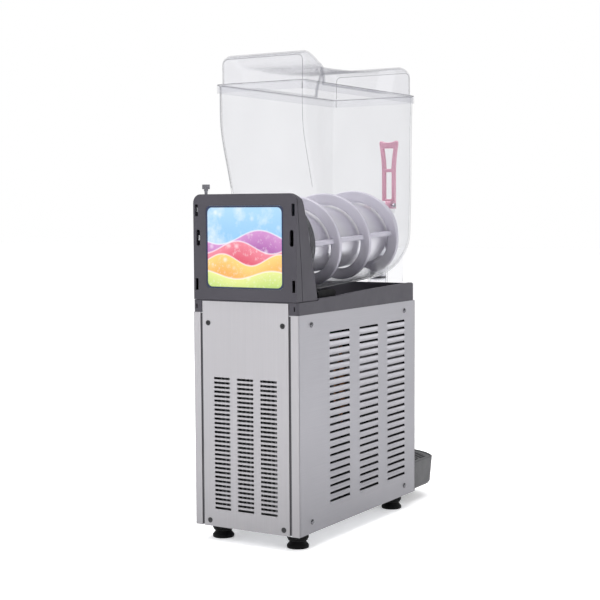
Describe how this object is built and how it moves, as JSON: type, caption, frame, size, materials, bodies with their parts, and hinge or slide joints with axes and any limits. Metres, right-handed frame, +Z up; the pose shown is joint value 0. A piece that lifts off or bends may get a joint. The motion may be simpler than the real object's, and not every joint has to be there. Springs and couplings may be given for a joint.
{
  "type": "slush machine",
  "caption": "Single-bowl frozen-drink machine: louvred steel cabinet, rear motor tower with lit panel, clear bowl and lid over a helical auger and cooling drum, lever tap, drip tray.",
  "frame": {"origin": "centre of the machine's footprint on the counter, between the rear screw heads and the front of the drip tray", "axes": "+Z up, -Y towards the tap and drip tray (front), +Y the rear with the lit panel, X across the machine"},
  "size_m": [0.2044, 0.5435, 0.796],
  "materials": {
    "cabinet_steel": "stainless sheet with a fine brushed grain",
    "galvanised_sheet": "plain zinc-coated sheet",
    "dark_sheet": "dark coated sheet",
    "black_screws": "black coated screw heads",
    "bright_screws": "bright domed screw heads",
    "bright_steel": "turned and ground steel",
    "polished_steel": "polished stainless drum",
    "cast_aluminium": "bead-blasted casting",
    "aluminium": "thin mill-finish sheet",
    "motor_paint": "satin motor paint",
    "compressor_paint": "gloss black shell paint",
    "copper": "drawn copper tube",
    "bronze": "sintered bronze",
    "rubber": "moulded rubber",
    "housing_plastic": "fine-textured moulded plastic",
    "black_plastic": "satin black moulded plastic",
    "tray_plastic": "satin grey moulded plastic",
    "white_plastic": "food-grade moulded plastic",
    "auger_plastic": "pale satin moulded plastic",
    "clear_plastic": "clear polycarbonate",
    "red_plastic": "red moulded plastic",
    "green_plastic": "green moulded plastic",
    "picture_plastic": "backlit picture panel",
    "white_board": "white lamp board",
    "green_board": "circuit board with parts"
  },
  "bodies": {
    "cabinet": {"base_pan": "galvanised_sheet", "levelling_feet": "black_plastic", "frame_posts": "dark_sheet", "deck_plate": "galvanised_sheet", "side_panel_left": "cabinet_steel", "side_panel_right": "cabinet_steel", "rear_panel": "cabinet_steel", "front_panel": "cabinet_steel", "rear_screws": "black_screws", "side_screws": "bright_screws", "deck_collar": "housing_plastic", "bowl_rests": "black_plastic", "tower_shell": "housing_plastic", "tower_rear_cover": "housing_plastic", "picture_lens": "picture_plastic", "led_board": "white_board", "density_nut": "bright_steel", "density_spring": "bright_steel", "seal_flange": "white_plastic", "bowl_gasket": "rubber", "evaporator_drum": "polished_steel", "evaporator_coil": "copper", "shaft_bushes": "bronze", "shaft_seal": "rubber", "tray_bracket": "galvanised_sheet", "compressor": "compressor_paint", "compressor_grommets": "rubber", "compressor_cover": "black_plastic", "condenser_core": "aluminium", "condenser_tubes": "copper", "fan_shroud": "galvanised_sheet", "fan_motor": "motor_paint", "filter_dryer": "copper", "suction_pipe": "rubber", "liquid_pipe": "copper", "control_box": "black_plastic", "control_board": "green_board", "switch_plate": "black_plastic", "cable_gland": "black_plastic"},
    "auger_drive": {"drive_shaft": "bright_steel", "auger": "auger_plastic", "auger_nose": "auger_plastic"},
    "gear_unit": {"gearbox": "cast_aluminium", "gear_motor": "motor_paint", "torque_arm": "bright_steel"},
    "density_knob": {"density_screw": "bright_steel"},
    "fan": {"fan_shaft": "bright_steel", "fan_blade": "aluminium"},
    "bowl_body": {"bowl": "clear_plastic", "tap_cap": "white_plastic", "tap_pivot_pin": "bright_steel", "tap_spring": "bright_steel"},
    "lid_body": {"bowl_lid": "clear_plastic"},
    "lever_body": {"tap_lever": "red_plastic"},
    "piston_body": {"tap_piston": "white_plastic", "tap_rings": "rubber"},
    "tray_body": {"drip_tray": "tray_plastic"},
    "grille_body": {"drip_grille": "tray_plastic"},
    "power_switch": {"rocker_power": "green_plastic"},
    "mode_switch": {"rocker_mode": "black_plastic"}
  },
  "joints": [
    {"name": "auger_turn", "type": "hinge", "parent": "cabinet", "child": "auger_drive", "pos_m": [0, -0.02975, 0.4942], "axis": [0, -0.9989, 0.0471], "continuous": true},
    {"name": "gear_unit_float", "type": "hinge", "parent": "cabinet", "child": "gear_unit", "pos_m": [0, -0.02975, 0.4942], "axis": [0, -0.9989, 0.0471], "range_deg": [-3, 3], "stiffness_Nm_per_rad": 50},
    {"name": "density_turn", "type": "hinge", "parent": "cabinet", "child": "density_knob", "pos_m": [0.078, 0.26225, 0.576], "axis": [0, 0, 1], "range_deg": [-180, 180]},
    {"name": "fan_turn", "type": "hinge", "parent": "cabinet", "child": "fan", "pos_m": [0, 0.19025, 0.162], "axis": [0, -1, 0], "continuous": true},
    {"name": "bowl_pull", "type": "slide", "parent": "cabinet", "child": "bowl_body", "axis": [0, -0.9989, 0.0471], "range_m": [0, 0.37]},
    {"name": "lid_lift", "type": "slide", "parent": "bowl_body", "child": "lid_body", "axis": [0, 0, 1], "range_m": [0, 0.09]},
    {"name": "lever_pull", "type": "hinge", "parent": "bowl_body", "child": "lever_body", "pos_m": [0, -0.21175, 0.548], "axis": [1, 0, 0], "range_deg": [0, 35]},
    {"name": "piston_lift", "type": "slide", "parent": "bowl_body", "child": "piston_body", "axis": [0, 0, 1], "range_m": [0, 0.01838], "stiffness_N_per_m": 60, "springref_m": -0.01, "deforming": ["tap_spring"]},
    {"name": "tray_pull", "type": "slide", "parent": "cabinet", "child": "tray_body", "axis": [0, -1, 0], "range_m": [0, 0.12]},
    {"name": "grille_lift", "type": "slide", "parent": "tray_body", "child": "grille_body", "axis": [0, 0, 1], "range_m": [0, 0.03]},
    {"name": "power_rock", "type": "hinge", "parent": "cabinet", "child": "power_switch", "pos_m": [-0.019, -0.13375, 0.345], "axis": [1, 0, 0], "range_deg": [-14, 0]},
    {"name": "mode_rock", "type": "hinge", "parent": "cabinet", "child": "mode_switch", "pos_m": [0.019, -0.13375, 0.345], "axis": [1, 0, 0], "range_deg": [-14, 0]}
  ],
  "couplings": [
    {"joint": "lever_pull", "follows": "piston_lift", "rad_per_m": 33.2}
  ]
}
